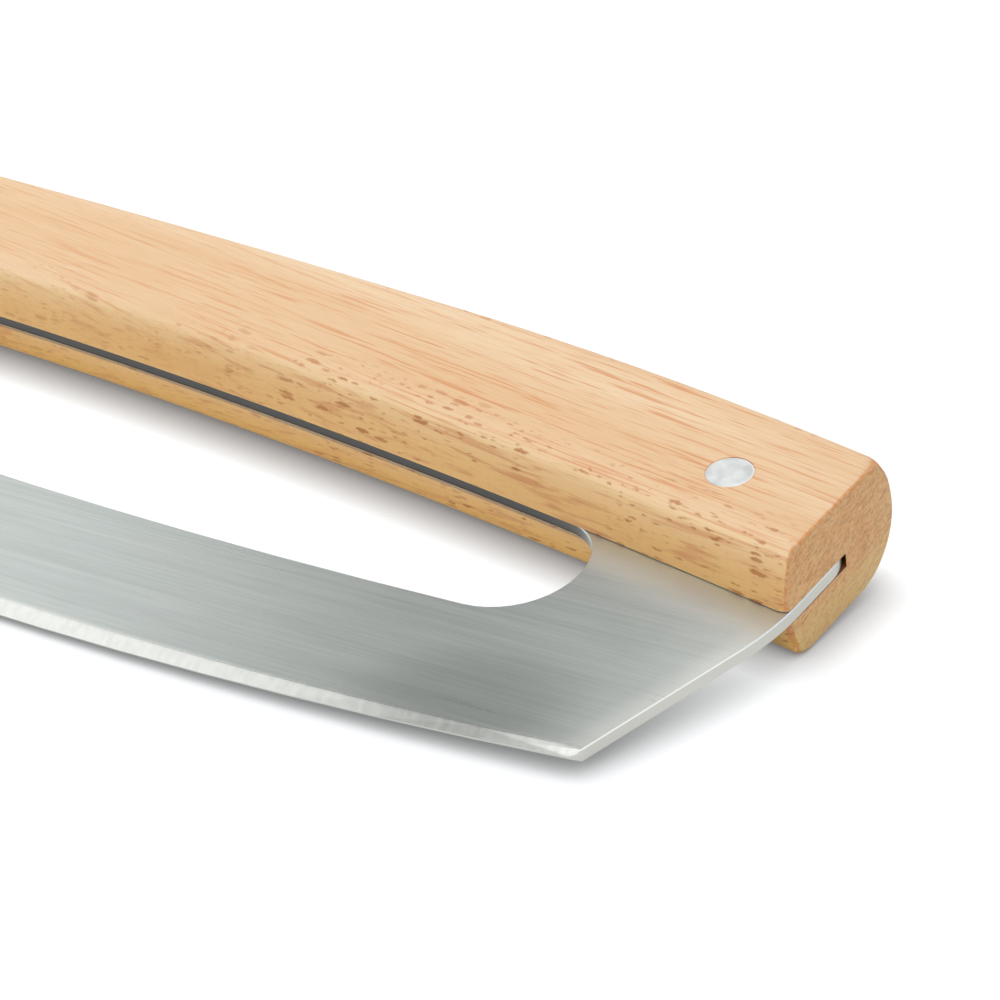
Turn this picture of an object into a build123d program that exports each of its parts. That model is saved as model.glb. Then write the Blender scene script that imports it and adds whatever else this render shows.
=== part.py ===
from build123d import *
import os
from math import asin, atan2, cos, degrees, hypot, sin, sqrt, tan

# A rocking pizza knife, lying on its flat side as it is put down on a table.
# It is drawn flat first: X runs along the handle, Y from the cutting edge to the
# handle's back, and Z = 0 is the middle of the blade plate. Y = 0 is the handle's
# hollow side at mid length. Then it is tilted onto its three resting points.

# Handle, one bar of hardwood
handle_length = 315.0
handle_width = 27.0
wood_above_plate = 9.9
wood_below_plate = 8.1
hollow_side_radius = 1365.0
back_radius = 2600.0
back_end_radius = 640.0
back_middle_length = 157.0
side_bulge = 2.2
joint_share = 0.9   # how much of the flat underside each half of the bar takes in
upper_edge_radius = 2.4
front_lower_radius = 3.8
back_lower_radius = 9.5
end_easing = 0.6

# Blade, one plate of stainless steel
plate_thickness = 2.0
cutting_edge_radius = 740.0
cutting_edge_drop = 59.4
grind_radius = 814.0
grind_drop = 57.05
tip_inset = 9.3
end_bend_drop = 12.2
end_bend_reach = 5.7
tip_radius = 2.2
edge_blunting = 0.2
plate_rim_easing = 0.15

# Finger window in the blade, under the handle
window_end_distance = 30.4
window_drop = 33.2
window_low_radius = 980.0
window_recess = 0.5
window_upper_corner_share = 0.46
window_lower_corner_share = 0.61

# Tang of the blade inside the handle's saw slot
tang_depth = 18.3
tang_corner = 8.0
slot_end_clearance = 0.7
slot_play = 0.15

# Rivets through handle and tang, ground flush
rivet_end_distance = 17.0
rivet_tang_margin = 6.3
rivet_shank_diameter = 5.0
rivet_head_diameter = 6.8
rivet_head_depth = 1.2
rivet_clearance = 0.05

overrun = 20.0
same_place = 0.006

half_length = handle_length / 2
half_plate = plate_thickness / 2
handle_thickness = wood_above_plate + wood_below_plate
handle_mid_level = (wood_above_plate - wood_below_plate) / 2


def on_arc(radius, x):
    """Drop of a circular arc at x from its middle."""
    return radius - sqrt(radius**2 - x**2)


def hollow_side(x):
    """Y of the handle's hollow side, where the slot opens."""
    return -on_arc(hollow_side_radius, x)


def side_profile(turn, lower_radius):
    """Half of the handle's cross-section: one bulged side with its rounded edges.

    The side bulges to zero, and turn says on which side of it the wood lies.
    """
    top = wood_above_plate
    bottom = -wood_below_plate
    flat_width = handle_width - 2 * side_bulge - front_lower_radius - back_lower_radius
    mid_width = side_bulge + lower_radius + joint_share * flat_width
    low = (turn * side_bulge, bottom)
    high = (turn * side_bulge, top)
    side = ThreePointArc(low, (0, handle_mid_level), high)
    rest = Polyline(high, (turn * mid_width, top), (turn * mid_width, bottom), low)
    section = make_face([side, rest])
    section = fillet(section.vertices().sort_by_distance(high)[0], upper_edge_radius)
    return fillet(section.vertices().sort_by_distance(low)[0], lower_radius)


def swept_side(path, turn, lower_radius):
    """The half cross-section carried along one long side of the handle."""
    section = side_profile(turn, lower_radius)
    start = Plane(origin=path @ 0, x_dir=(path % 0).rotate(Axis.Z, 90), z_dir=path % 0)
    return sweep(start * section, path=path)


def hollow_path():
    """The hollow side's arc, a little longer than the handle."""
    x = half_length + overrun / 2
    return ThreePointArc((-x, hollow_side(x)), (0, 0), (x, hollow_side(x)))


def back_path():
    """The back's three arcs, each one tangent to the next."""
    middle_x = back_middle_length / 2
    slope = asin(middle_x / back_radius)
    middle_y = handle_width - on_arc(back_radius, middle_x)
    centre_x = middle_x - back_end_radius * sin(slope)
    centre_y = middle_y - back_end_radius * cos(slope)
    end_x = half_length + overrun / 2
    quarter_x = (middle_x + end_x) / 2
    end_y = centre_y + sqrt(back_end_radius**2 - (end_x - centre_x) ** 2)
    quarter_y = centre_y + sqrt(back_end_radius**2 - (quarter_x - centre_x) ** 2)
    left = ThreePointArc((-end_x, end_y), (-quarter_x, quarter_y), (-middle_x, middle_y))
    middle = ThreePointArc((-middle_x, middle_y), (0, handle_width), (middle_x, middle_y))
    right = ThreePointArc((middle_x, middle_y), (quarter_x, quarter_y), (end_x, end_y))
    return Wire([left, middle, right])


def handle_bar():
    """The wooden bar before it is slotted and drilled."""
    front = swept_side(hollow_path(), 1, front_lower_radius)
    back = swept_side(back_path(), -1, back_lower_radius)
    bar = front + back
    waste = Pos(half_length + overrun, 0, 0) * Box(2 * overrun, 4 * handle_width, 4 * handle_width)
    bar = bar - waste - mirror(waste, about=Plane.YZ)
    ends = [edge for edge in bar.edges() if abs(abs(edge.center().X) - half_length) < same_place]
    return fillet(ends, end_easing)


def offset_arc(depth, x):
    """Y at x of the arc that runs a depth inside the hollow side."""
    radius = hollow_side_radius + depth
    return depth - on_arc(radius, x)


def cutting_edge(x):
    """Y of the curved cutting edge."""
    return on_arc(cutting_edge_radius, x) - cutting_edge_drop


def grind_line(x):
    """Y where the bevel starts on the plate's faces."""
    return on_arc(grind_radius, x) - grind_drop


def tang_top_edges():
    """Upper outline of the tang, from the left end to the right."""
    end_y = offset_arc(tang_depth, half_length)
    return ThreePointArc((-half_length, end_y), (0, tang_depth), (half_length, end_y))


def corners_at(outline, level):
    """The corners of an outline at one Y."""
    return [corner for corner in outline.vertices() if abs(corner.Y - level) < same_place]


def plate_outline():
    """Plan of the blade plate."""
    top = tang_top_edges()
    tip_x = half_length - tip_inset
    tip = (tip_x, cutting_edge(tip_x))
    left_tip = (-tip_x, tip[1])
    bend = (half_length, -end_bend_drop)
    left_bend = (-half_length, -end_bend_drop)
    bend_angle = atan2(tip_inset, bend[1] - tip[1])
    belly = ThreePointArc(tip, (0, cutting_edge(0)), left_tip)
    outline = make_face([top, Polyline(top @ 1, bend, tip), belly, Polyline(left_tip, left_bend, top @ 0)])
    outline = fillet(outline.vertices().sort_by(Axis.Y)[-2:], tang_corner)
    outline = fillet(outline.vertices().sort_by(Axis.Y)[:2], tip_radius)
    return fillet(corners_at(outline, -end_bend_drop), end_bend_reach / tan(bend_angle / 2))


def window_outline():
    """Plan of the finger window."""
    side = half_length - window_end_distance
    top_y = offset_arc(window_recess, side)
    low_y = on_arc(window_low_radius, side) - window_drop
    top = ThreePointArc((-side, top_y), (0, window_recess), (side, top_y))
    low = ThreePointArc((-side, low_y), (0, -window_drop), (side, low_y))
    outline = make_face([top, Line(top @ 1, low @ 1), low, Line(low @ 0, top @ 0)])
    end_height = top_y - low_y
    outline = fillet(outline.vertices().sort_by(Axis.Y)[-2:], window_upper_corner_share * end_height)
    return fillet(corners_at(outline, low_y), window_lower_corner_share * end_height)


def beyond_arc(arc_of, level):
    """A face from an edge arc outwards, well past the plate, at a level."""
    side = half_length
    arc = ThreePointArc((-side, arc_of(side)), (0, arc_of(0)), (side, arc_of(side)))
    far_y = -cutting_edge_drop - overrun
    far = Polyline(arc @ 1, (side, far_y), (-side, far_y), arc @ 0)
    return Pos(0, 0, level) * make_face([arc, far])


def bevel_cutter():
    """What grinding takes away on both faces along the cutting edge."""
    keen = beyond_arc(lambda x: cutting_edge(x) - edge_blunting, 0)
    upper = loft([keen, beyond_arc(grind_line, half_plate)], ruled=True)
    return upper + mirror(upper, about=Plane.XY)


def rivet_places():
    """Plan positions of the rivets, one near each end."""
    x = half_length - rivet_end_distance
    y = offset_arc(tang_depth, x) - rivet_tang_margin
    return [(x, y), (-x, y)]


def rivet_solid(clearance):
    """A shank with a tapered head at each face of the handle."""
    shank = rivet_shank_diameter / 2 + clearance
    head = rivet_head_diameter / 2 + clearance
    top = wood_above_plate
    bottom = -wood_below_plate
    profile = Polyline(
        (0, bottom),
        (head, bottom),
        (shank, bottom + rivet_head_depth),
        (shank, top - rivet_head_depth),
        (head, top),
        (0, top),
        close=True,
    )
    return revolve(Plane.XZ * make_face(profile), Axis.Z)


def rivet_bore():
    """The rivet's hole in the wood, open outwards at both faces."""
    mouth = Cylinder(
        rivet_head_diameter / 2 + rivet_clearance,
        overrun,
        align=(Align.CENTER, Align.CENTER, Align.MIN),
    )
    above = Pos(0, 0, wood_above_plate) * mouth
    below = Pos(0, 0, -wood_below_plate - overrun) * mouth
    return rivet_solid(rivet_clearance) + above + below


def blade_plate():
    """The stamped plate with its rims eased, its bevels ground and its holes drilled."""
    blank = extrude(plate_outline() - window_outline(), half_plate, both=True)
    rims = blank.faces().sort_by(Axis.Z)[0].edges() + blank.faces().sort_by(Axis.Z)[-1].edges()
    plate = chamfer(rims, plate_rim_easing) - bevel_cutter()
    hole = Cylinder(rivet_shank_diameter / 2 + rivet_clearance, 2 * plate_thickness)
    for x, y in rivet_places():
        plate -= Pos(x, y, 0) * hole
    return plate


def slot_cutter():
    """The saw slot, rounded past the tang's corners, open along the hollow side."""
    top = tang_top_edges()
    low_y = hollow_side(half_length) - overrun
    sides = Polyline(top @ 1, (half_length, low_y), (-half_length, low_y), top @ 0)
    outline = make_face([top, sides])
    outline = fillet(outline.vertices().sort_by(Axis.Y)[-2:], tang_corner)
    outline = offset(outline, slot_end_clearance)
    return Pos(0, 0, -half_plate) * extrude(outline, plate_thickness + slot_play)


def wooden_handle():
    """The bar with the slot for the tang and the rivets' bores."""
    bores = [Pos(x, y, 0) * rivet_bore() for x, y in rivet_places()]
    return handle_bar() - [slot_cutter(), *bores]


def resting_tilt():
    """Angle at which the handle's lower edges and the blade's belly touch the table."""
    half_height = handle_thickness / 2
    bulge_radius = (half_height**2 + side_bulge**2) / (2 * side_bulge)
    round_level = front_lower_radius - wood_below_plate
    reach = sqrt((bulge_radius - front_lower_radius) ** 2 - (round_level - handle_mid_level) ** 2)
    round_y = hollow_side(half_length) + bulge_radius - reach
    run = round_y + grind_drop
    rise = round_level + half_plate
    return degrees(asin(front_lower_radius / hypot(run, rise)) - atan2(rise, run))


handle = wooden_handle()
blade = blade_plate()
rivet = rivet_solid(0)
rivets = [Pos(x, y, 0) * rivet for x, y in rivet_places()]

nodes = {
    "handle": handle,
    "blade": blade,
    "right_rivet": rivets[0],
    "left_rivet": rivets[1],
}
os.makedirs("parts", exist_ok=True)
tilted = {name: Rot(resting_tilt(), 0, 0) * part.solid() for name, part in nodes.items()}
box = Compound(list(tilted.values())).bounding_box()
to_origin = Pos(-box.center().X, -box.center().Y, -box.min.Z)

for name, solid in tilted.items():
    export_step(to_origin * solid, f"parts/{name}.step")
print("tilt", round(resting_tilt(), 4), "size", box.size, "shift", to_origin.position)
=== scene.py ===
"""A rocking pizza knife with a wooden handle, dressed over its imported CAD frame."""

from math import atan2, cos, degrees, pi, radians, sin, sqrt

import bmesh
import bpy
from mathutils import Matrix, Vector


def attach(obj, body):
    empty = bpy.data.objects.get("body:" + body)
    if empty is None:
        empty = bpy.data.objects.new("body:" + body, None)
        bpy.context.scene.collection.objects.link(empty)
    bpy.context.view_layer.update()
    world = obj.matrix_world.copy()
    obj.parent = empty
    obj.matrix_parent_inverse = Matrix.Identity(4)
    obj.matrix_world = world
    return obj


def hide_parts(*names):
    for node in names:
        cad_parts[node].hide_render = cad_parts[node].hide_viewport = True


bl_info = {
    "name": "Rocking pizza knife",
    "version": (1, 0, 0),
    "blender": (4, 5, 0),
    "location": "View3D > Sidebar > Knife",
    "description": "Makes a rocking pizza knife: wooden handle, brushed blade and rivets",
    "category": "Object",
}

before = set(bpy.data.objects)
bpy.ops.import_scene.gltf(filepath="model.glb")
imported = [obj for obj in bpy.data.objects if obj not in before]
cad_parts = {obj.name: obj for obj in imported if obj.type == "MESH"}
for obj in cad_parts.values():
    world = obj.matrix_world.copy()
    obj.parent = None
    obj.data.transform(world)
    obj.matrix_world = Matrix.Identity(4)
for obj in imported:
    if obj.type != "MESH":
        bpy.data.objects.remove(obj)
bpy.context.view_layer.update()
BODY = "root"
MM = 0.001
WHITE = (1, 1, 1, 1)

# Fineness of the rounded edges in the handle's section, and of its bores.
CORNER_STEPS_PER_MM, LEAST_CORNER_STEPS = 3, 6
BORE_SIDES, BORE_OVERRUN = 48, 1.2
# This much of the section keeps to the hollow side, and this much of it to the back.
FRONT_FOLLOWS, BACK_FOLLOWS = 6.2 * MM, 12 * MM
# The slot's mouth is worn this far into the wood, and not this near to the underside.
MOUTH_DEPTH, MOUTH_FOOT = 4 * MM, 2 * MM
# Points nearer than this are one: where a turned outline meets its axis, and in any mesh.
SEAM, DOUBLES = 1e-6, 2e-6
# What the handle's wire tells its node tree about each of its points.
WIRE_ATTRIBUTES = {
    "follow": "FLOAT",  # 0 keeps to the hollow side and 1 to the back
    "ends_slot": "FLOAT",  # 1 on the slot's inner end
    "easing": "FLOAT",  # how far from the handle's end its rounding starts
    "outward": "FLOAT_VECTOR",  # how far the point steps in at the very end
}

TABLE_HALF_WIDTH, TABLE_SQUARES = 3.0, 24
LAMPS_AIM = (0.05, 0, 0)
TOP_LAMP = {"place": (-0.2, 0.27, 1.1), "size": 0.9, "watts": 9.0}
FRONT_LAMP = {"place": (0.1, -1.0, 0.6), "size": 0.8, "watts": 4.5}
# Corners and height of the dark card that the blade mirrors.
CARD_CORNERS = (
    (-0.4, -0.66),
    (-0.4, -0.98),
    (-0.15, -0.98),
    (-0.42, 0.8),
    (-0.73, 0.8),
    (-0.34, -0.3),
    (-0.32, -0.5),
)
CARD_LEVEL = 0.8
SKY_LIGHT = 0.4
CAMERA_LENS, CAMERA_SENSOR, CAMERA_CLIP = 102.32806603618448, 36, 0.02
CAMERA_PLACE = Vector((328.80261838, -260.34597537, 206.98799353)) * MM
CAMERA_RIGHT = Vector((0.7942814, 0.60447462, -0.06105314))
CAMERA_DOWN = Vector((0.25606822, -0.42420547, -0.86860738))
CAMERA_FORWARD = Vector((-0.55095019, 0.67428492, -0.49172526))


def length(name, description, millimetres):
    """A length property, given in millimetres."""
    return bpy.props.FloatProperty(
        name=name, description=description, default=millimetres * MM, unit="LENGTH", precision=5
    )


def count(name, description, default):
    """A whole number that sets how finely a piece is divided."""
    return bpy.props.IntProperty(name=name, description=description, default=default, min=3)


def colour(name, description, default):
    """A colour property, given as linear red, green and blue."""
    return bpy.props.FloatVectorProperty(
        name=name, description=description, default=default, subtype="COLOR", size=3, min=0, max=1
    )


class KnifeSizes(bpy.types.PropertyGroup):
    """Sizes of the knife, in the frame of the handle lying flat."""

    handle_length: length("Handle length", "From end to end", 315)
    handle_width: length("Handle width", "Across the handle at mid length", 26.96)
    wood_above: length("Wood above", "From the plate's middle to the top face", 9.897)
    wood_below: length("Wood below", "From the plate's middle to the underside", 8.1)
    hollow_radius: length("Hollow side", "Radius of the handle's hollow side", 1365)
    back_radius: length("Back", "Radius of the back's middle arc", 2600)
    back_end_radius: length("Back ends", "Radius of the back's end arcs", 640)
    back_middle: length("Back middle", "Length of the back's middle arc", 157)
    side_bulge: length("Side bulge", "How far the long sides bulge", 2.2)
    upper_round: length("Upper edges", "Radius of both upper long edges", 2.4)
    front_round: length("Front lower edge", "Radius of the lower edge above the window", 3.8)
    back_round: length("Back lower edge", "Radius of the lower edge at the back", 9.5)
    end_easing: length("End easing", "Radius of the eased edges round both ends", 0.8)
    worn_back: length("Worn back corner", "Radius of the ends' upper back corners", 6.8)
    worn_front: length("Worn front corner", "Radius of the ends' upper front corners", 2.8)
    worn_mouth: length("Worn slot mouth", "Rounding of the ends where the slot opens", 1.4)
    worn_lip: length("Worn lip corner", "Radius of the ends' lower front corners", 5.4)
    slot_floor: length("Slot floor", "From the plate's middle down to the slot's lower wall", 1.0)
    slot_roof: length("Slot roof", "From the plate's middle up to the slot's upper wall", 1.15)
    slot_depth: length("Slot depth", "Depth of the saw slot at mid length", 19)
    slot_corner: length("Slot corner", "Radius of the slot's corners near the ends", 8.7)
    slot_corner_inset: length("Corner inset", "From the end to the centre of the slot's corner", 8)
    rivet_inset: length("Rivet inset", "From the handle's end to the rivet's axis", 17)
    rivet_offset: length("Rivet offset", "Rivet's axis from the hollow side at mid length", 4.846)
    rivet_head: length("Rivet head", "Radius of the rivet's head", 3.4)
    rivet_shank: length("Rivet shank", "Radius of the rivet's shank", 2.5)
    rivet_taper: length("Head depth", "Depth of the tapered head", 1.2)
    bore_play: length("Bore play", "Gap between the rivet and its bore", 0.05)
    grind_radius: length("Grind line", "Radius of the line where the bevel starts", 814)
    grind_drop: length("Grind drop", "The grind line's lowest place below the lip", 57.05)
    end_bend_drop: length("End bend", "Height of the bend in the blade's end, below the lip", 12.2)
    rest_tilt: bpy.props.FloatProperty(
        name="Resting tilt",
        description="Angle at which the knife lies on a table",
        default=radians(7.7219),
        subtype="ANGLE",
    )
    rest_shift: bpy.props.FloatVectorProperty(
        name="Resting place",
        description="Where the flat frame's origin lies on the table",
        default=(0, 16.1155 * MM, 8.65643 * MM),
        subtype="TRANSLATION",
        precision=5,
    )
    stations: count("Stations", "Cross-sections along the handle", 201)
    rivet_sides: count("Rivet sides", "Steps round a rivet", 48)


class KnifeColours(bpy.types.PropertyGroup):
    """Colours of the knife and its stage."""

    wood: colour("Wood", "Flat grain on the top face", (0.84, 0.64, 0.43))
    wood_rosy: colour("Rosy wood", "Pinker bands of the top face", (0.765, 0.518, 0.3))
    wood_line: colour("Grain lines", "Darker grain lines and pores", (0.66, 0.28, 0.12))
    wood_side: colour("Wood side", "Yellower grain of the long sides", (0.87, 0.53, 0.2))
    wood_lip: colour("Wood below the slot", "Orange tone of the lower lip", (0.92, 0.53, 0.13))
    wood_fleck: colour("Wood flecks", "Short dark flecks of the long sides", (0.43, 0.14, 0.03))
    wood_end: colour("End grain", "Darker grain of both ends", (1.0, 0.575, 0.235))
    # This tone is painted shade inside the saw slot.
    slot: colour("Sawn slot", "Burnt walls of the saw slot", (0.3, 0.11, 0.045))
    wood_edge: colour("Eased edge", "Orange tone of the sanded end edges", (0.72, 0.28, 0.07))
    steel: colour("Steel", "Brushed faces of the blade", (0.67, 0.715, 0.69))
    steel_dark: colour("Steel streaks", "Darker brush lines", (0.55, 0.595, 0.57))
    bevel: colour("Bevel", "Ground faces along the cutting edge", (0.93, 0.95, 0.9))
    # The window rim's dark tone is partly the dull stamped edge and partly painted shade of the
    # slot.
    dull_shaded_window_rim: colour("Window rim", "Dull rim inside the finger window", (0.1, 0.102, 0.102))
    rivet: colour("Rivet", "Flush rivet metal", (0.97, 1.0, 0.99))
    floor: colour("Floor", "Pale table top", (0.69, 0.72, 0.75))


class Number:
    """A number that a node tree works out, written with ordinary signs."""

    def __init__(self, tree, socket):
        self.tree = tree
        self.socket = socket

    def work(self, operation, *others):
        """What one of Blender's operations makes of this number and others."""
        made = self.tree.nodes.new("ShaderNodeMath")
        made.operation = operation
        for place, value in zip(made.inputs, (self, *others)):
            put(self.tree, value, place)
        return Number(self.tree, made.outputs[0])

    def __add__(self, other):
        return self.work("ADD", other)

    def __sub__(self, other):
        return self.work("SUBTRACT", other)

    def __mul__(self, other):
        return self.work("MULTIPLY", other)

    def __truediv__(self, other):
        return self.work("DIVIDE", other)

    def __neg__(self):
        return self * -1.0

    def square(self):
        return self * self

    def root(self):
        return self.work("SQRT")

    def size(self):
        return self.work("ABSOLUTE")

    def over(self, limit):
        return self.work("GREATER_THAN", limit)

    def most(self, other):
        return self.work("MAXIMUM", other)

    def least(self, other):
        return self.work("MINIMUM", other)

    def step(self, low, high):
        """0 below low, 1 above high and smooth between, or the other way round."""
        made = self.tree.nodes.new("ShaderNodeMapRange")
        made.interpolation_type = "SMOOTHSTEP"
        for place, value in zip(made.inputs, (self, low, high, 0.0, 1.0)):
            put(self.tree, value, place)
        return Number(self.tree, made.outputs[0])


def put(tree, value, place):
    """Link a worked-out value to a node's input, or set a plain one."""
    if isinstance(value, Number):
        value = value.socket
    if isinstance(value, bpy.types.NodeSocket):
        tree.links.new(value, place)
    else:
        place.default_value = value


def node(tree, kind, inputs=(), **settings):
    """Add a node, set its options and fill its inputs."""
    made = tree.nodes.new(kind)
    for key, value in settings.items():
        setattr(made, key, value)
    for key, value in dict(inputs).items():
        put(tree, value, made.inputs[key])
    return made


def in_scene(name, data):
    """A new object in the scene that shows a mesh, a lamp or a camera."""
    made = bpy.data.objects.new(name, data)
    bpy.context.scene.collection.objects.link(made)
    return made


# ---------------------------------------------------------------- cross-section


def side_arc(sizes):
    """Middle height and radius of the arc that the long sides bulge in."""
    middle = (sizes.wood_above - sizes.wood_below) / 2
    half = (sizes.wood_above + sizes.wood_below) / 2
    return middle, (half**2 + sizes.side_bulge**2) / (2 * sizes.side_bulge)


def rounded_corner(sizes, radius, level, upward):
    """Round between a long side's bulge and a flat face, from the bulge to the flat.

    Points are (distance from the side, height), at mid length.
    """
    middle, bulge = side_arc(sizes)
    centre_height = level - radius * upward
    centre = bulge - sqrt((bulge - radius) ** 2 - (centre_height - middle) ** 2)
    start = atan2((centre_height - middle) * upward, centre - bulge) % (2 * pi)
    steps = max(LEAST_CORNER_STEPS, round(radius / MM * CORNER_STEPS_PER_MM))
    points = []
    for i in range(steps + 1):
        angle = start + (pi / 2 - start) * i / steps
        points.append((centre + radius * cos(angle), centre_height + radius * sin(angle) * upward))
    return points


def bulged_side(sizes, low, high, steps):
    """Points of a long side's bulge from one height to another."""
    middle, bulge = side_arc(sizes)
    heights = [low + (high - low) * i / steps for i in range(steps + 1)]
    return [(bulge - sqrt(bulge**2 - (height - middle) ** 2), height) for height in heights]


def handle_section(sizes):
    """The handle's cross-section at mid length: its outline, then the slot's inner end."""
    top, bottom = sizes.wood_above, -sizes.wood_below
    upper_front = rounded_corner(sizes, sizes.upper_round, top, 1)
    lower_front = rounded_corner(sizes, sizes.front_round, bottom, -1)
    upper_back = rounded_corner(sizes, sizes.upper_round, top, 1)
    lower_back = rounded_corner(sizes, sizes.back_round, bottom, -1)
    width = sizes.handle_width
    side_steps, lip_steps, flat_steps = 5, 4, 8

    def across(points):
        return [(width - side, height) for side, height in points]

    def flat(start, end, level):
        return [(start + (end - start) * i / flat_steps, level) for i in range(1, flat_steps)]

    points = bulged_side(sizes, sizes.slot_roof, upper_front[0][1], side_steps)[:-1]
    points += upper_front
    points += flat(upper_front[-1][0], width - upper_back[-1][0], top)
    points += across(upper_back)[::-1]
    points += across(bulged_side(sizes, upper_back[0][1], lower_back[0][1], side_steps)[1:-1])
    points += across(lower_back)
    points += flat(width - lower_back[-1][0], lower_front[-1][0], bottom)
    points += lower_front[::-1]
    points += bulged_side(sizes, lower_front[0][1], -sizes.slot_floor, lip_steps)[1:]
    slot_end = [(sizes.slot_depth, -sizes.slot_floor), (sizes.slot_depth, sizes.slot_roof)]
    return points, slot_end


def section_wire(sizes):
    """A closed wire of the cross-section, with what the handle's node tree reads."""
    points, slot_end = handle_section(sizes)
    ring = points + slot_end
    mesh = bpy.data.meshes.new("handle_section")
    edges = [(i, (i + 1) % len(ring)) for i in range(len(ring))]
    mesh.from_pydata([(0, side, height) for side, height in ring], edges, [])
    for name, kind in WIRE_ATTRIBUTES.items():
        mesh.attributes.new(name, kind, "POINT")
    follow, ends_slot, easing, outward = [mesh.attributes[name] for name in WIRE_ATTRIBUTES]
    near, far = FRONT_FOLLOWS, sizes.handle_width - BACK_FOLLOWS
    for i, (side, height) in enumerate(ring):
        in_slot = i >= len(points)
        at_mouth = i in (0, len(points) - 1)
        here, before, after = [Vector(ring[k % len(ring)]) for k in (i, i - 1, i + 1)]
        pull = Vector((0, 0))
        if not in_slot:
            away = Vector((-1, 0)) if at_mouth else mitre(before, here, after)
            pull = worn_pull(sizes, here, away) * mouth_wear(sizes, here)
        follow.data[i].value = min(1, max(0, (side - near) / (far - near)))
        ends_slot.data[i].value = 1.0 if in_slot else 0.0
        outward.data[i].vector = (0, pull.x, pull.y)
        easing.data[i].value = sizes.end_easing + 2 * max(0, pull.length - sizes.end_easing)
    return mesh


def mitre(before, here, after):
    """Outward step at a corner that moves both its edges out by 1, limited where it is sharp."""
    one, two = (here - before).normalized(), (after - here).normalized()
    away = Vector((-one.y - two.y, one.x + two.x))
    return away.normalized() / max(0.5, away.length / 2)


def mouth_wear(sizes, here):
    """How many times as far as elsewhere the end is worn at the slot's mouth."""
    extra = sizes.worn_mouth / sizes.end_easing - 1
    if here.x >= MOUTH_DEPTH:
        return 1
    if MOUTH_FOOT - sizes.wood_below < here.y <= -sizes.slot_floor:
        return 1 + extra
    if sizes.slot_roof <= here.y < sizes.wood_above / 2:
        rise = (here.y - sizes.slot_roof) / (sizes.wood_above / 2 - sizes.slot_roof)
        return 1 + extra * (1 - rise) ** 2
    return 1


def worn_pull(sizes, here, away):
    """From where a point of the section ends up at the handle's very end to where it was.

    The flat stretches step in by the end's easing, and worn corners are rounded further.
    """
    pull = away * sizes.end_easing
    top, bottom = sizes.wood_above, -sizes.wood_below
    corners = (
        (sizes.handle_width, -1, top, -1, sizes.worn_back),
        (0, 1, top, -1, sizes.worn_front),
        (0, 1, bottom, 1, sizes.worn_lip),
    )
    for edge, inward, level, down, radius in corners:
        centre = Vector((edge + inward * radius, level + down * radius))
        arm = here - centre
        if arm.x * inward < 0 and arm.y * down < 0:
            kept = min(arm.length, radius) - sizes.end_easing
            pull = arm - arm.normalized() * kept
    return pull


# ---------------------------------------------------------------- geometry nodes


def geometry_tree(name, sockets):
    """A new geometry tree with named number inputs and one mesh in and out."""
    tree = bpy.data.node_groups.new(name, "GeometryNodeTree")
    tree.interface.new_socket("Mesh", in_out="INPUT", socket_type="NodeSocketGeometry")
    for label, kind in sockets.items():
        tree.interface.new_socket(label, in_out="INPUT", socket_type=kind)
    tree.interface.new_socket("Mesh", in_out="OUTPUT", socket_type="NodeSocketGeometry")
    start = tree.nodes.new("NodeGroupInput")
    values = {}
    for socket in start.outputs:
        if socket.name in sockets and sockets[socket.name] == "NodeSocketFloat":
            values[socket.name] = Number(tree, socket)
        else:
            values[socket.name] = socket
    return tree, values


def finish_tree(tree, geometry, material):
    """Realize what the tree made, give it its material and hand it out."""
    real = node(tree, "GeometryNodeRealizeInstances", {"Geometry": geometry}).outputs[0]
    painted = node(tree, "GeometryNodeSetMaterial", {"Geometry": real, "Material": material})
    end = tree.nodes.new("NodeGroupOutput")
    tree.links.new(painted.outputs[0], end.inputs[0])


def named(tree, name, kind="FLOAT"):
    """Read an attribute of the piece by name."""
    read = node(tree, "GeometryNodeInputNamedAttribute", {"Name": name}, data_type=kind)
    return read.outputs["Attribute"]


def split(tree, vector):
    """The three numbers of a vector."""
    parts = node(tree, "ShaderNodeSeparateXYZ", {0: vector})
    return [Number(tree, output) for output in parts.outputs]


def join(tree, x, y, z):
    """A vector from three numbers."""
    return node(tree, "ShaderNodeCombineXYZ", {0: x, 1: y, 2: z}).outputs[0]


def stored(tree, geometry, name, value, kind):
    """Keep a value on a geometry's points as a named attribute."""
    inputs = {"Geometry": geometry, "Name": name, "Value": value}
    return node(tree, "GeometryNodeStoreNamedAttribute", inputs, data_type=kind).outputs[0]


def swept_surface(tree, wire, steps, closed):
    """Carry a wire along a unit line or ring.

    Gives the mesh, the wire's own position and how far along each point lies: 0 to 1 on a
    line, and the number of the step on a ring.
    """
    profile = node(tree, "GeometryNodeMeshToCurve", {"Mesh": wire}).outputs[0]
    place = node(tree, "GeometryNodeInputPosition").outputs[0]
    profile = stored(tree, profile, "section", place, "FLOAT_VECTOR")
    if closed:
        path = node(tree, "GeometryNodeCurvePrimitiveCircle", {"Resolution": steps}).outputs[0]
        share = node(tree, "GeometryNodeInputIndex").outputs[0]
    else:
        line = node(tree, "GeometryNodeCurvePrimitiveLine").outputs[0]
        path = node(tree, "GeometryNodeResampleCurve", {"Curve": line, "Count": steps}).outputs[0]
        share = node(tree, "GeometryNodeSplineParameter").outputs["Factor"]
    path = stored(tree, path, "along", share, "FLOAT")
    inputs = {"Curve": path, "Profile Curve": profile, "Fill Caps": not closed}
    swept = node(tree, "GeometryNodeCurveToMesh", inputs).outputs[0]
    return swept, named(tree, "section", "FLOAT_VECTOR"), Number(tree, named(tree, "along"))


def rest_in_place(tree, geometry, tilt, shift):
    """Tilt the flat knife onto the table."""
    inputs = {"Geometry": geometry, "Translation": shift, "Rotation": join(tree, tilt, 0.0, 0.0)}
    return node(tree, "GeometryNodeTransform", inputs).outputs[0]


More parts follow.
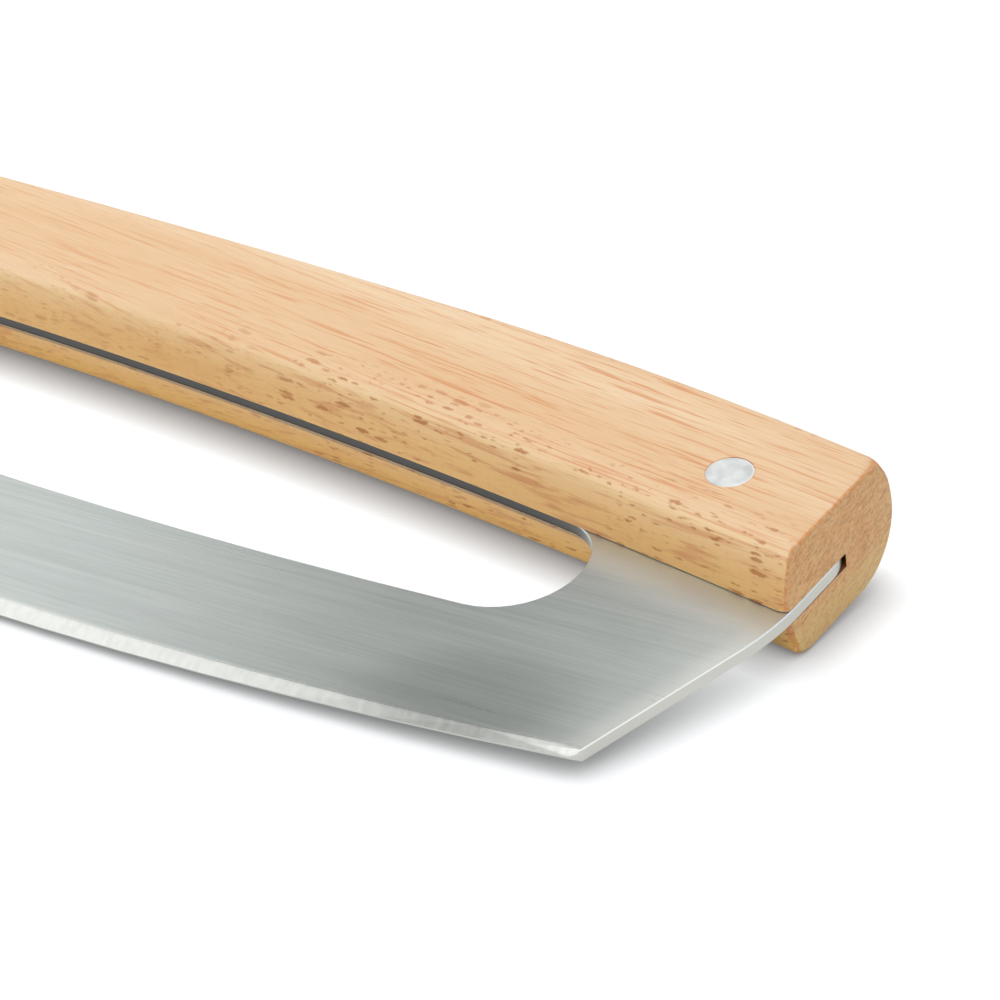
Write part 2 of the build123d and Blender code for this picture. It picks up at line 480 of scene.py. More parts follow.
def on_both_axes(tree, get, piece):
    """Set a piece on both rivets' axes."""
    x, y = get["Rivet x"], get["Rivet y"]
    start, apart = join(tree, x, y, 0.0), join(tree, x * -2.0, 0.0, 0.0)
    ends = {"Count": 2, "Start Location": start, "Offset": apart}
    line = node(tree, "GeometryNodeMeshLine", ends, mode="OFFSET").outputs[0]
    points = node(tree, "GeometryNodeMeshToPoints", {"Mesh": line}).outputs[0]
    inputs = {"Points": points, "Instance": piece}
    return node(tree, "GeometryNodeInstanceOnPoints", inputs).outputs[0]


def back_line(get, x, reach):
    """Y of the bar's back: a middle arc, and a tighter arc that meets it at either end."""
    middle = get["Back middle"] / 2.0
    back_radius, end_radius = get["Back radius"], get["Back end radius"]
    slope = middle / back_radius
    level = (back_radius.square() - middle.square()).root() - back_radius
    centre_x = middle - end_radius * slope
    centre_y = level - end_radius * (slope.square() * -1.0 + 1.0).root()
    inner = (back_radius.square() - x.square()).root() - back_radius
    outer = (end_radius.square() - (reach - centre_x).square()).root() + centre_y
    return inner + (outer - inner) * reach.over(middle)


def slot_line(get, x, reach):
    """Y of the slot's inner end: an arc along the tang with a round corner at either end."""
    depth, corner = get["Slot depth"], get["Slot corner"]
    radius = get["Hollow radius"] + depth
    corner_x = get["Length"] / 2.0 - get["Corner inset"]
    along_tang = depth + (radius.square() - x.square()).root() - radius
    at_corner = depth + (radius.square() - corner_x.square()).root() - radius
    past_corner = (reach - corner_x).most(0.0).least(corner)
    rounding = corner - (corner.square() - past_corner.square()).root()
    return along_tang.most(at_corner) - rounding


def rivet_bores(tree, get):
    """What is drilled at each rivet: a hole right through, and a taper into either face."""
    head, shank, taper = get["Bore head"], get["Bore shank"], get["Bore taper"]
    through = (get["Above"] + get["Below"]) * BORE_OVERRUN
    drill = {"Vertices": BORE_SIDES, "Radius": shank, "Depth": through}
    solids = [node(tree, "GeometryNodeMeshCylinder", drill).outputs[0]]
    # Both tapers run on past their faces by their own depth, and so widen as much again.
    wide = head * 2.0 - shank
    for level, top, bottom in ((get["Above"], wide, shank), (-get["Below"], shank, wide)):
        ends = {"Radius Top": top, "Radius Bottom": bottom, "Depth": taper * 2.0}
        cone = node(tree, "GeometryNodeMeshCone", {"Vertices": BORE_SIDES, **ends}).outputs[0]
        move = {"Geometry": cone, "Translation": join(tree, 0.0, 0.0, level - taper)}
        solids.append(node(tree, "GeometryNodeTransform", move).outputs[0])
    cutter = node(tree, "GeometryNodeMeshBoolean", operation="UNION", solver="EXACT")
    for solid in solids:
        tree.links.new(solid, cutter.inputs[1])
    bores = on_both_axes(tree, get, cutter.outputs[0])
    return node(tree, "GeometryNodeRealizeInstances", {"Geometry": bores}).outputs[0]


def handle_tree(material):
    """Node tree of the bar: its section follows the hollow side and the back's arcs."""
    labels = ("Length", "Hollow radius", "Back radius", "Back end radius", "Back middle")
    labels += ("Slot depth", "Slot corner", "Corner inset", "Rivet x", "Rivet y")
    labels += ("Bore head", "Bore shank", "Bore taper", "Above", "Below", "Tilt")
    sockets = {label: "NodeSocketFloat" for label in labels}
    sockets |= {"Stations": "NodeSocketInt", "Shift": "NodeSocketVector"}
    tree, get = geometry_tree("bar along two arcs", sockets)
    swept, section, along = swept_surface(tree, get["Mesh"], get["Stations"], closed=False)
    half = get["Length"] / 2.0
    # A sine crowds the stations towards the ends, where the edges are eased.
    x = half * ((along * 2.0 - 1.0) * (pi / 2)).work("SINE")
    reach = x.size()

    hollow = get["Hollow radius"]
    front = (hollow.square() - x.square()).root() - hollow
    _, across, height = split(tree, section)
    to_back = (back_line(get, x, reach) - front) * Number(tree, named(tree, "follow"))
    y = across + front + to_back
    y = y + (slot_line(get, x, reach) - y) * Number(tree, named(tree, "ends_slot"))

    easing = Number(tree, named(tree, "easing"))
    past_easing = (reach - (half - easing)).most(0.0).least(easing)
    inset = (past_easing / easing).square() * -1.0 + 1.0
    inset = inset.most(0.0).root() * -1.0 + 1.0
    _, out_y, out_z = split(tree, named(tree, "outward", "FLOAT_VECTOR"))
    place = join(tree, x, y - out_y * inset, height - out_z * inset)
    bar = node(tree, "GeometryNodeSetPosition", {"Geometry": swept, "Position": place}).outputs[0]
    bar = node(tree, "GeometryNodeFlipFaces", {"Mesh": bar}).outputs[0]

    drilled = node(tree, "GeometryNodeMeshBoolean", operation="DIFFERENCE", solver="EXACT")
    tree.links.new(bar, drilled.inputs[0])
    tree.links.new(rivet_bores(tree, get), drilled.inputs[1])
    placed = rest_in_place(tree, drilled.outputs[0], get["Tilt"], get["Shift"])
    finish_tree(tree, placed, material)
    return tree


def rivet_wire(sizes):
    """Half outline of a rivet: a shank and two tapered heads, a little dished on top."""
    head, shank, taper = sizes.rivet_head, sizes.rivet_shank, sizes.rivet_taper
    top, bottom = sizes.wood_above, -sizes.wood_below
    rim, dish, rings, rim_bend = 0.12 * MM, 0.05 * MM, 10, 0.3
    upper = [(0.0, -dish)]
    for i in range(1, rings):
        share = i / rings
        upper.append((share * (head - rim), -dish * (1 - share**3)))
    upper += [(head - rim, 0.0), (head - rim * rim_bend, -rim * rim_bend), (head, -rim)]
    outline = [(r, top + h) for r, h in upper] + [(shank, top - taper)]
    outline += [(shank, bottom + taper)] + [(r, bottom - h) for r, h in reversed(upper)]
    mesh = bpy.data.meshes.new("rivet_outline")
    edges = [(i, i + 1) for i in range(len(outline) - 1)]
    mesh.from_pydata([(r, 0, h) for r, h in outline], edges, [])
    return mesh


def rivet_tree(material):
    """Node tree of both rivets: one turned outline, set on the two axes."""
    sockets = {label: "NodeSocketFloat" for label in ("Rivet x", "Rivet y", "Tilt")}
    sockets |= {"Sides": "NodeSocketInt", "Shift": "NodeSocketVector"}
    tree, get = geometry_tree("rivets on two axes", sockets)
    swept, section, along = swept_surface(tree, get["Mesh"], get["Sides"], closed=True)
    radius, _, height = split(tree, section)
    angle = along / Number(tree, get["Sides"]) * (2 * pi)
    place = join(tree, radius * angle.work("COSINE"), radius * angle.work("SINE"), height)
    rivet = node(tree, "GeometryNodeSetPosition", {"Geometry": swept, "Position": place})
    closing = {"Geometry": rivet.outputs[0], "Distance": SEAM}
    rivet = node(tree, "GeometryNodeMergeByDistance", closing)
    pair = on_both_axes(tree, get, rivet.outputs[0])
    placed = rest_in_place(tree, pair, get["Tilt"], get["Shift"])
    finish_tree(tree, placed, material)
    return tree


def grown(name, wire, tree, values):
    """The plain mesh object that a node tree grows from a wire."""
    piece = in_scene(name, wire)
    modifier = piece.modifiers.new(tree.name, "NODES")
    modifier.node_group = tree
    for item in tree.interface.items_tree:
        if item.item_type == "SOCKET" and item.in_out == "INPUT" and item.name in values:
            modifier[item.identifier] = values[item.name]
    graph = bpy.context.evaluated_depsgraph_get()
    mesh = bpy.data.meshes.new_from_object(piece.evaluated_get(graph), depsgraph=graph)
    piece.modifiers.remove(modifier)
    piece.data = mesh
    mesh.name = name
    return piece


def tidy_mesh(mesh, sharp_angle):
    """Merge doubles, point the faces outwards and shade smoothly between sharp edges."""
    work = bmesh.new()
    work.from_mesh(mesh)
    bmesh.ops.remove_doubles(work, verts=work.verts, dist=DOUBLES)
    bmesh.ops.recalc_face_normals(work, faces=work.faces)
    work.to_mesh(mesh)
    work.free()
    for name in (*WIRE_ATTRIBUTES, "section", "along"):
        if name in mesh.attributes:
            mesh.attributes.remove(mesh.attributes[name])
    mesh.shade_smooth()
    mesh.set_sharp_from_angle(angle=radians(sharp_angle))


# ---------------------------------------------------------------- materials


def shader(name):
    """A new material with its tree and its one Principled shader."""
    made = bpy.data.materials.new(name)
    made.use_nodes = True
    tree = made.node_tree
    return made, tree, tree.nodes["Principled BSDF"]


def flat_place(tree, sizes):
    """Object coordinates in the flat knife's own frame, in metres."""
    place = node(tree, "ShaderNodeTexCoord").outputs["Object"]
    back = node(tree, "ShaderNodeMapping", {"Vector": place}, vector_type="TEXTURE")
    back.inputs["Location"].default_value = sizes.rest_shift
    back.inputs["Rotation"].default_value = (sizes.rest_tilt, 0, 0)
    return back.outputs[0]


def turned(tree, vector, angles):
    """A vector seen from a frame that is turned by fixed angles, in degrees."""
    made = node(tree, "ShaderNodeMapping", {"Vector": vector}, vector_type="TEXTURE")
    made.inputs["Rotation"].default_value = [radians(angle) for angle in angles]
    return made.outputs[0]


def flat_normal(tree, sizes):
    """The way a face looks, in the flat knife's own frame, as three numbers."""
    normal = node(tree, "ShaderNodeTexCoord").outputs["Normal"]
    return split(tree, turned(tree, normal, (degrees(sizes.rest_tilt), 0, 0)))


def behind_hollow(sizes, x, y):
    """How far a point lies behind the handle's hollow side."""
    return y + x.square() / (2 * sizes.hollow_radius)


def vector_math(tree, operation, first, second):
    """Work out a vector from two others."""
    return node(tree, "ShaderNodeVectorMath", {0: first, 1: second}, operation=operation).outputs[0]


def noise(tree, vector, per_metre, detail=2.0, roughness=0.5, distortion=0.0):
    """Noise with its own fineness along each axis, mostly from 0 to 1."""
    scaled = vector_math(tree, "MULTIPLY", vector, per_metre)
    inputs = {"Vector": scaled, "Scale": 1.0, "Detail": detail}
    inputs |= {"Roughness": roughness, "Distortion": distortion}
    return Number(tree, node(tree, "ShaderNodeTexNoise", inputs).outputs[0])


def cells(tree, vector, per_metre):
    """Distance to the nearest scattered point, and a random number for each point."""
    scaled = vector_math(tree, "MULTIPLY", vector, per_metre)
    made = node(tree, "ShaderNodeTexVoronoi", {"Vector": scaled, "Scale": 1.0})
    chance = node(tree, "ShaderNodeSeparateColor", {0: made.outputs["Color"]}).outputs[0]
    return Number(tree, made.outputs["Distance"]), Number(tree, chance)


def blend(tree, share, first, second):
    """Mix two colours, from the first at 0 to the second at 1."""
    made = node(tree, "ShaderNodeMix", data_type="RGBA")
    put(tree, share, made.inputs["Factor"])
    # The node keeps its colours after its plain numbers and vectors, at 6 and 7.
    for value, place in ((first, made.inputs[6]), (second, made.inputs[7])):
        if not isinstance(value, (Number, bpy.types.NodeSocket)):
            value = (*value, 1.0)
        put(tree, value, place)
    return made.outputs[2]


def tinted(tone, factors):
    """A tone with its red, green and blue changed by a factor each."""
    return [min(1, part * factor) for part, factor in zip(tone, factors)]


def dimmed(tone, factor):
    """A darker tone of the same hue."""
    return [part * factor for part in tone]


def roughen(tree, surface, height, strength, distance):
    """Give a surface a fine relief that is as high as distance where height is 1."""
    inputs = {"Height": height, "Strength": strength, "Distance": distance}
    put(tree, node(tree, "ShaderNodeBump", inputs).outputs[0], surface.inputs["Normal"])


def wood_material(sizes, colours):
    """Oiled close-grained hardwood: lines on top, flecks on the sides, pores at the ends."""
    made, tree, surface = shader("oiled_hardwood")
    flat = flat_place(tree, sizes)
    grain = turned(tree, flat, (0, -1.1, -5.4))
    ray_place = turned(tree, flat, (14, 0, 0))
    x, y, z = split(tree, flat)
    from_lip = behind_hollow(sizes, x, y)
    normal_x, normal_y, normal_z = flat_normal(tree, sizes)
    endwise, sidewise = normal_x.size(), normal_y.size()

    # Where the faces, the worn edges and the painted highlight on the upper rounding are.
    rub = noise(tree, flat, (420, 420, 420), 3.0, 0.65)
    side = sidewise.step(0.66, 1.02)
    low = z.step(-1.0 * MM, -4.5 * MM)
    end = (endwise + rub * 0.16 - 0.08).step(0.86, 0.97)
    eased = (endwise + rub * 0.7 - 0.35).step(0.18, 0.5) * endwise.step(0.97, 0.75)
    rounding_highlight = sidewise.step(0.3, 0.8) * sidewise.step(1.02, 0.88) * normal_z.step(0.05, 0.3)

    # Grain along the handle, from broad bands to fibres, and silk across its long sides.
    bands = noise(tree, grain, (5, 70, 40))
    bars = noise(tree, grain, (14, 230, 110), 3.0, 0.6, 0.4)
    lines = noise(tree, grain, (55, 1950, 560), 2.0, 0.6, 0.3)
    line_area = noise(tree, grain, (9, 90, 90)).step(0.25, 0.6) * 0.8 + 0.2
    line = lines.step(0.53, 0.66) * line_area
    hair = noise(tree, grain, (120, 4400, 1500), 2.0, 0.6).step(0.56, 0.68)
    fibres = noise(tree, grain, (160, 5200, 5200))
    silk = noise(tree, flat, (1700, 240, 420), 2.0, 0.6, 0.4) * side

    # Short dark flecks, on and near the long sides and fewer at mid length.
    fleck_area = noise(tree, flat, (45, 50, 150)).step(0.3, 0.52)
    near_side = sidewise.step(0.02, 0.45).most(from_lip.step(9.5 * MM, 4 * MM) * 0.85)
    shake = node(tree, "ShaderNodeTexNoise", {"Vector": flat, "Scale": 900.0}).outputs["Color"]
    shake = vector_math(tree, "MULTIPLY", shake, (1.6 * MM, 0.6 * MM, 0.6 * MM))
    shaken = vector_math(tree, "ADD", grain, shake)
    flecks, fleck_chance = cells(tree, shaken, (260, 850, 1150))
    fleck = (fleck_chance * 0.8 - flecks - 0.28).step(0.0, 0.22) * fleck_area
    specks, speck_chance = cells(tree, shaken, (470, 1500, 2100))
    speck = (speck_chance * 0.8 - specks - 0.25).step(0.0, 0.3) * fleck_area
    frequent = x.size().step(30 * MM, 90 * MM) * 0.55 + 0.45
    fleck = fleck.most(speck * 0.8) * near_side * frequent

    top_share = bands.step(0.3, 0.7) * 0.7 + bars.step(0.3, 0.6) * 0.3
    top = blend(tree, top_share, colours.wood, colours.wood_rosy)
    deep_rosy = tinted(colours.wood_rosy, (0.95, 0.86, 0.78))
    top = blend(tree, bars.step(0.5, 0.75) * 0.5, top, deep_rosy)
    deep_side = tinted(colours.wood_side, (0.9, 0.78, 0.66))
    long_side = blend(tree, bars.step(0.35, 0.7) * 0.5, colours.wood_side, deep_side)
    # Painted bounce light: below the slot the long sides are painted lighter and more orange.
    long_side = blend(tree, low * 0.8, long_side, colours.wood_lip)
    body = blend(tree, side.most(low), top, long_side)
    # Painted highlight: the rounding between the top and the long sides is painted lighter.
    body = blend(tree, rounding_highlight * 0.6, body, tinted(colours.wood, (1.14, 1.09, 0.93)))
    body = blend(tree, fibres.step(0.4, 0.8) * 0.16, body, colours.wood_line)
    body = blend(tree, silk.step(0.45, 0.75) * 0.12, body, colours.wood_line)
    crisp = x.size().step(20 * MM, 100 * MM) * 0.45 + 0.55
    body = blend(tree, line * crisp * 0.8, body, colours.wood_line)
    body = blend(tree, hair * crisp * 0.32, body, colours.wood_line)
    body = blend(tree, fleck * 0.8, body, colours.wood_fleck)

    # End grain, with rays, pores and pale spots.
    ray = noise(tree, ray_place, (300, 560, 2600), 3.0, 0.6)
    speckle = noise(tree, flat, (900, 2100, 2100), 3.0, 0.65)
    pale = noise(tree, ray_place, (900, 1300, 2600), 3.0, 0.65)
    blotch = noise(tree, flat, (60, 160, 120))
    tone = colours.wood_end
    ends = blend(tree, blotch.step(0.35, 0.7), tone, tinted(tone, (0.98, 0.9, 0.84)))
    # Painted bounce light: the ends are painted lighter below the slot, with fewer dark rays and
    # specks.
    ends = blend(tree, low * 0.8, ends, tinted(colours.wood_lip, (1.1, 1.3, 2.1)))
    dark = low * -0.5 + 1.0
    for share, factors in (
        (ray.step(0.42, 0.66) * dark * 0.75, (0.66, 0.52, 0.42)),
        (speckle.step(0.48, 0.66) * dark * 0.5, (0.56, 0.4, 0.3)),
        (pale.step(0.5, 0.66) * 0.6, (1.0, 1.22, 1.6)),
    ):
        ends = blend(tree, share, ends, tinted(tone, factors))
    body = blend(tree, end, body, ends)

    # The slot's two walls, then its inner end, painted dark as painted shade inside the slot.
    slot_middle = 0.07 * MM
    wall = (z - slot_middle).size().step(1.18 * MM, 1.12 * MM) * normal_z.size().step(0.5, 0.8)
    wall = wall * from_lip.step(1.5 * MM, 4 * MM)
    wall = wall.most(normal_y.step(-0.3, -0.7) * from_lip.step(3 * MM, 4 * MM))
    body = blend(tree, wall, body, colours.slot)
    worn = eased * (speckle.step(0.35, 0.65) * 0.6 + 0.35)
    body = blend(tree, worn, body, colours.wood_edge)
    put(tree, body, surface.inputs["Base Color"])
    put(tree, line * 0.1 + hair * 0.15 + 0.46, surface.inputs["Roughness"])
    surface.inputs["Specular IOR Level"].default_value = 0.35
    height = fibres * 0.25 - line * 0.3 - hair * 0.3 - fleck * 0.2
    height = height - (ray * 0.5 + speckle * 0.4) * end
    roughen(tree, surface, height, 0.25, 0.12 * MM)
    return made


def steel_material(sizes, colours):
    """Stainless steel: lengthwise brushing on the plate, cross-grinding on the bevels."""
    made, tree, surface = shader("brushed_steel")
    flat = flat_place(tree, sizes)
    brush = turned(tree, flat, (0, 0, 5.4))
    x, y, _ = split(tree, flat)
    _, normal_y, normal_z = flat_normal(tree, sizes)

    # How far a point lies past the grind line, and past the blade's end.
    centre_y = sizes.grind_radius - sizes.grind_drop
    past_grind = (x.square() + (y - centre_y).square()).root() - sizes.grind_radius
    past_end = x.size() - sizes.handle_length / 2
    slant_x, slant_y = 0.961, 0.278
    past_slant = past_end * slant_x - (y + sizes.end_bend_drop) * slant_y
    past_end = past_end.most(past_slant)

    # Where the bevel and the plate's rims are, and the painted highlight along its ends.
    ragged = noise(tree, flat, (2600, 2600, 0), 3.0, 0.7)
    near_tip = x.size().step(135 * MM, 157 * MM)
    bevel = past_grind + (ragged - 0.5 + near_tip) * (0.7 * MM)
    bevel = bevel.step(-0.9 * MM, 0.4 * MM)
    rim = normal_z.size().step(0.6, 0.3)
    dull_shaded_window_rim = rim * normal_y.step(-0.45, -0.85) * y.step(-8 * MM, -4 * MM)
    highlight_wobble = noise(tree, flat, (160, 160, 160), 1.0)
    painted_end_highlight = (past_end + (highlight_wobble - 0.5) * (2 * MM)).step(-4.5 * MM, 0.3 * MM)
    painted_end_highlight = painted_end_highlight * (rim * -1.0 + 1.0)
    near_wood = behind_hollow(sizes, x, y).step(-12 * MM, 1 * MM)

    # Brush lines from broad to fine, and the bevel's cross-grinding.
    wide = noise(tree, brush, (8, 330, 330))
    middle = noise(tree, brush, (30, 1700, 1700), 2.0, 0.6)
    fine = noise(tree, brush, (90, 6000, 6000), 2.0, 0.6)
    grit = noise(tree, flat, (3500, 3500, 3500), 2.0, 0.6)
    patches = noise(tree, flat, (40, 40, 40))
    cross = noise(tree, flat, (900, 500, 0), 1.0)
    streak = wide * 0.25 + middle * 0.35 + fine * 0.3 + grit * 0.1

    plate = blend(tree, streak.step(0.34, 0.66), colours.steel_dark, colours.steel)
    # Painted highlight: the plate is painted lighter towards its ends, and lighter still in a
    # ragged band along them.
    plate = blend(tree, past_end.step(-12 * MM, -3 * MM) * 0.22, plate, colours.bevel)
    plate = blend(tree, painted_end_highlight * 0.8, plate, colours.bevel)
    # Painted reflection: a cool tint near the handle that offsets the wood's warm reflection in the
    # plate.
    plate = blend(tree, near_wood * 0.9, plate, tinted(colours.steel, (0.98, 1.08, 1.25)))
    ground_share = cross.step(0.3, 0.7) * 0.6 + 0.4
    ground = blend(tree, ground_share, dimmed(colours.bevel, 0.88), colours.bevel)
    body = blend(tree, bevel, plate, ground)
    # Painted shade: a long darker spot inside the grind line, near each tip.
    from_spot = (x.size() - 130 * MM).square() * 0.36 + (past_grind + 5 * MM).square()
    painted_shade_spot = from_spot.root().step(12.5 * MM, 4.5 * MM)
    body = blend(tree, painted_shade_spot * 0.21, body, (0.0, 0.0, 0.0))
    body = blend(tree, rim, body, tinted(colours.bevel, (0.63, 0.62, 0.6)))
    # Painted shade of the slot, over the dull stamped edge of the window's rim.
    body = blend(tree, dull_shaded_window_rim, body, colours.dull_shaded_window_rim)
    put(tree, body, surface.inputs["Base Color"])
    surface.inputs["Metallic"].default_value = 0.9
    rough = streak * 0.1 + patches * 0.06 + rim * 0.12 + near_wood * 0.1 + 0.21
    put(tree, rough + (cross * 0.04 + 0.22 - rough) * bevel, surface.inputs["Roughness"])
    height = fine * 0.7 + grit * 0.3 - 0.5
    roughen(tree, surface, height - height * bevel.most(rim), 1.0, 0.008 * MM)
    return made


def rivet_material(sizes, colours):
    """Soft bright metal, hammered and sanded flush."""
    made, tree, surface = shader("sanded_rivet_metal")
    flat = flat_place(tree, sizes)
    dents = noise(tree, flat, (420, 420, 420), 3.0, 0.6)
    scratches = noise(tree, turned(tree, flat, (0, 0, 30)), (300, 5000, 5000))
    tone = blend(tree, dents.step(0.3, 0.7), dimmed(colours.rivet, 0.84), colours.rivet)
    put(tree, tone, surface.inputs["Base Color"])
    surface.inputs["Metallic"].default_value = 1.0
    put(tree, dents * 0.25 + scratches * 0.1 + 0.22, surface.inputs["Roughness"])
    roughen(tree, surface, dents + scratches * 0.1, 0.5, 0.2 * MM)
    return made


def shown_plainly(tree):
    """1 for what the camera sees, directly, mirrored or through glass."""
    path = node(tree, "ShaderNodeLightPath")
    seen = Number(tree, path.outputs["Is Camera Ray"])
    for name in ("Is Glossy Ray", "Is Transmission Ray"):
        seen = seen.most(Number(tree, path.outputs[name]))
    return seen


def floor_material(colours):
    """Matt pale table top that stays white but for the lamps' shadow and a painted contact shadow,
    darkest at contact.
    """
    made, tree, surface = shader("pale_table_top")
    flat = node(tree, "ShaderNodeTexCoord").outputs["Object"]
    seen = shown_plainly(tree)
    mottle = noise(tree, flat, (30, 30, 30), 3.0)
    contact_reach = 6.5 * MM
    # Painted contact shadow: an ambient-occlusion reading darkens the floor's colour and glow near
    # the knife.
    near = node(tree, "ShaderNodeAmbientOcclusion", {"Distance": contact_reach}, samples=8)
    open_air = Number(tree, near.outputs["AO"]) * 0.76 + 0.08
    lighting = blend(tree, mottle * 0.03, colours.floor, (0.66, 0.67, 0.68))
    shown = blend(tree, open_air, dimmed(colours.floor, 0.24), dimmed(colours.floor, 0.54))
    put(tree, blend(tree, seen, lighting, shown), surface.inputs["Base Color"])
    put(tree, mottle * 0.05 + 0.8, surface.inputs["Roughness"])
    surface.inputs["Specular IOR Level"].default_value = 0.1
    surface.inputs["Emission Color"].default_value = WHITE
    put(tree, seen * open_air * 0.88, surface.inputs["Emission Strength"])
    return made


# ---------------------------------------------------------------- operators


class KNIFE_OT_handle(bpy.types.Operator):
    """Make the wooden handle with its saw slot and rivet bores"""

    bl_idname = "knife.handle"
    bl_label = "Wooden handle"

    def execute(self, context):
        sizes, colours = context.scene.knife_sizes, context.scene.knife_colours
        values = {
            "Length": sizes.handle_length,
            "Hollow radius": sizes.hollow_radius,
            "Back radius": sizes.back_radius,
            "Back end radius": sizes.back_end_radius,
            "Back middle": sizes.back_middle,
            "Slot depth": sizes.slot_depth,
            "Slot corner": sizes.slot_corner,
            "Corner inset": sizes.slot_corner_inset,
            "Rivet x": sizes.handle_length / 2 - sizes.rivet_inset,
            "Rivet y": sizes.rivet_offset,
            "Bore head": sizes.rivet_head + sizes.bore_play,
            "Bore shank": sizes.rivet_shank + sizes.bore_play,
            "Bore taper": sizes.rivet_taper,
            "Above": sizes.wood_above,
            "Below": sizes.wood_below,
            "Tilt": sizes.rest_tilt,
            "Shift": sizes.rest_shift[:],
            "Stations": sizes.stations,
        }
        material = wood_material(sizes, colours)
        handle = grown("wooden_handle", section_wire(sizes), handle_tree(material), values)
        tidy_mesh(handle.data, sharp_angle=32)
        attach(handle, BODY)
        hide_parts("handle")
        return {"FINISHED"}


class KNIFE_OT_blade(bpy.types.Operator):
    """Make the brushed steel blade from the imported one"""

    bl_idname = "knife.blade"
    bl_label = "Brushed blade"

    def execute(self, context):
        sizes, colours = context.scene.knife_sizes, context.scene.knife_colours
        blade = in_scene("brushed_blade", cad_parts["blade"].data.copy())
        tidy_mesh(blade.data, sharp_angle=14)
        blade.data.materials.clear()
        blade.data.materials.append(steel_material(sizes, colours))
        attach(blade, BODY)
        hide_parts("blade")
        return {"FINISHED"}


class KNIFE_OT_rivets(bpy.types.Operator):
    """Make the two flush rivets"""

    bl_idname = "knife.rivets"
    bl_label = "Flush rivets"

    def execute(self, context):
        sizes, colours = context.scene.knife_sizes, context.scene.knife_colours
        values = {
            "Rivet x": sizes.handle_length / 2 - sizes.rivet_inset,
            "Rivet y": sizes.rivet_offset,
            "Tilt": sizes.rest_tilt,
            "Sides": sizes.rivet_sides,
            "Shift": sizes.rest_shift[:],
        }
        material = rivet_material(sizes, colours)
        rivets = grown("flush_rivets", rivet_wire(sizes), rivet_tree(material), values)
        tidy_mesh(rivets.data, sharp_angle=40)
        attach(rivets, BODY)
        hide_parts("right_rivet", "left_rivet")
        return {"FINISHED"}


def add_lamp(name, place, size, watts):
    """A soft square lamp that faces the knife and is never mirrored itself."""
    light = bpy.data.lights.new(name, "AREA")
    light.shape = "RECTANGLE"
    light.size = light.size_y = size
    light.energy = watts
    lamp = in_scene(name, light)
    lamp.location = place
    facing = Vector(LAMPS_AIM) - Vector(place)
    lamp.rotation_euler = facing.to_track_quat("-Z", "Y").to_euler()
    lamp.visible_glossy = False


def add_card(name, corners, level):
    """A level dark card, with its corners in order, that only glossy surfaces mirror."""
    mesh = bpy.data.meshes.new(name)
    mesh.from_pydata([(x, y, level) for x, y in corners], [], [range(len(corners))])
    card = in_scene(name, mesh)
    made, tree, surface = shader("matt_dark_card")
    place = node(tree, "ShaderNodeTexCoord").outputs["Object"]
    mottle = noise(tree, place, (20, 20, 20))
    tone = blend(tree, mottle, (0.015, 0.015, 0.015), (0.04, 0.04, 0.04))
    put(tree, tone, surface.inputs["Base Color"])
    surface.inputs["Roughness"].default_value = 0.9
    mesh.materials.append(made)
    card.visible_camera = False
    card.visible_diffuse = False
    card.visible_shadow = False


def add_table(material):
    """A wide level table top under the knife."""
    work = bmesh.new()
    squares = {"x_segments": TABLE_SQUARES, "y_segments": TABLE_SQUARES}
    bmesh.ops.create_grid(work, size=TABLE_HALF_WIDTH, **squares)
    mesh = bpy.data.meshes.new("table_top")
    work.to_mesh(mesh)
    work.free()
    mesh.materials.append(material)
    in_scene("table_top", mesh)


def add_camera():
    """The camera that sees the knife as the photograph does."""
    data = bpy.data.cameras.new("photo_camera")
    data.sensor_width = CAMERA_SENSOR
    data.sensor_fit = "HORIZONTAL"
    data.lens = CAMERA_LENS
    data.clip_start = CAMERA_CLIP
    camera = in_scene("photo_camera", data)
    turn = Matrix((CAMERA_RIGHT, -CAMERA_DOWN, -CAMERA_FORWARD)).transposed()
    camera.matrix_world = Matrix.Translation(CAMERA_PLACE) @ turn.to_4x4()
    bpy.context.scene.camera = camera


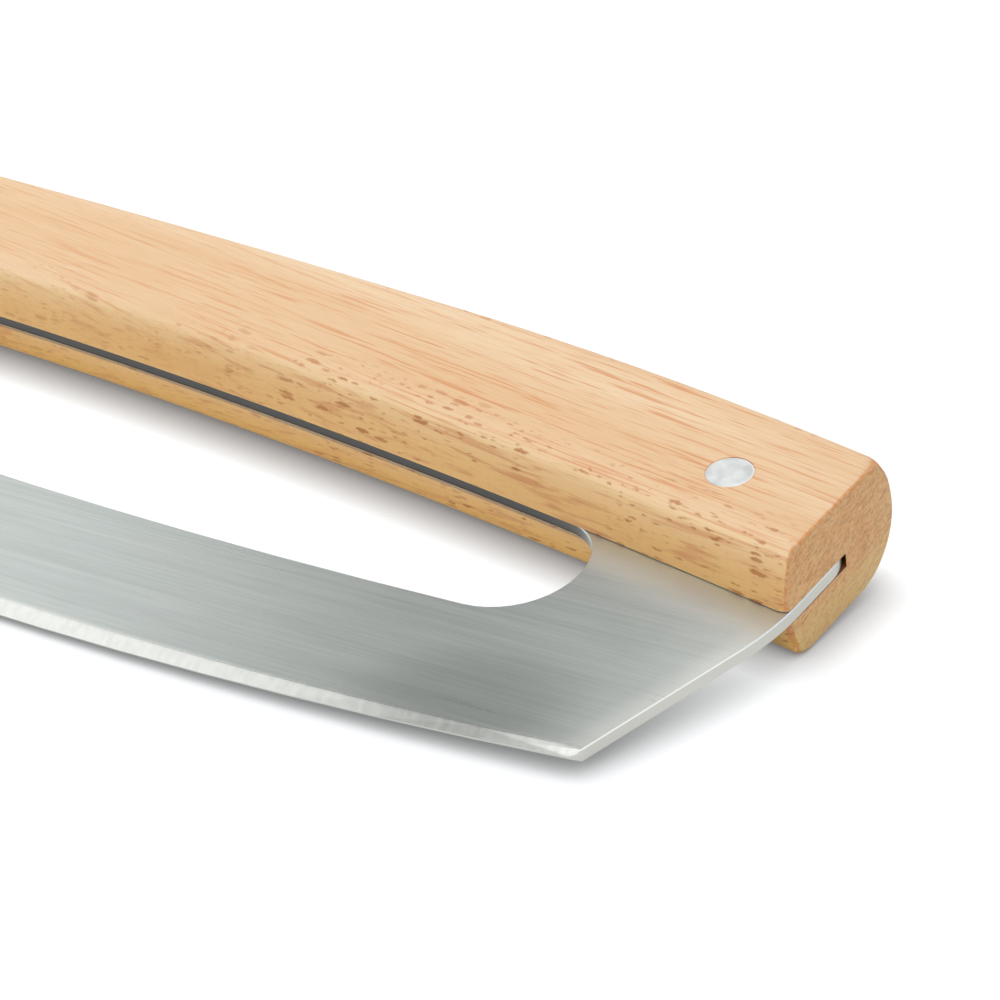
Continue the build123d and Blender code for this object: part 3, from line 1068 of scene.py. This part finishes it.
class KNIFE_OT_stage(bpy.types.Operator):
    """Set up the pale table top, the soft lamps and the camera"""

    bl_idname = "knife.stage"
    bl_label = "Stage"

    def execute(self, context):
        scene = context.scene
        add_table(floor_material(scene.knife_colours))
        add_lamp("top_lamp", **TOP_LAMP)
        add_lamp("front_lamp", **FRONT_LAMP)
        add_card("dark_card", CARD_CORNERS, CARD_LEVEL)
        world = bpy.data.worlds.new("white_studio")
        world.use_nodes = True
        tree = world.node_tree
        sky = tree.nodes["Background"]
        sky.inputs["Color"].default_value = WHITE
        strength = shown_plainly(tree) * (1 - SKY_LIGHT) + SKY_LIGHT
        put(tree, strength, sky.inputs["Strength"])
        scene.world = world
        scene.view_settings.view_transform = "Standard"
        add_camera()
        return {"FINISHED"}


class KNIFE_PT_panel(bpy.types.Panel):
    """Lists the knife's pieces, sizes and colours"""

    bl_idname = "KNIFE_PT_panel"
    bl_label = "Rocking pizza knife"
    bl_space_type = "VIEW_3D"
    bl_region_type = "UI"
    bl_category = "Knife"

    def draw(self, context):
        layout = self.layout
        for operator in OPERATORS:
            layout.operator(operator.bl_idname)
        for group in (context.scene.knife_sizes, context.scene.knife_colours):
            box = layout.box()
            for name in group.bl_rna.properties.keys():
                if name not in ("name", "rna_type"):
                    box.prop(group, name)


OPERATORS = (KNIFE_OT_handle, KNIFE_OT_blade, KNIFE_OT_rivets, KNIFE_OT_stage)
CLASSES = (KnifeSizes, KnifeColours, *OPERATORS, KNIFE_PT_panel)


def register():
    for item in CLASSES:
        bpy.utils.register_class(item)
    bpy.types.Scene.knife_sizes = bpy.props.PointerProperty(type=KnifeSizes)
    bpy.types.Scene.knife_colours = bpy.props.PointerProperty(type=KnifeColours)


def unregister():
    del bpy.types.Scene.knife_colours
    del bpy.types.Scene.knife_sizes
    for item in reversed(CLASSES):
        bpy.utils.unregister_class(item)


def main():
    register()
    bpy.ops.knife.handle()
    bpy.ops.knife.blade()
    bpy.ops.knife.rivets()
    bpy.ops.knife.stage()


if __name__ == "__main__":
    main()
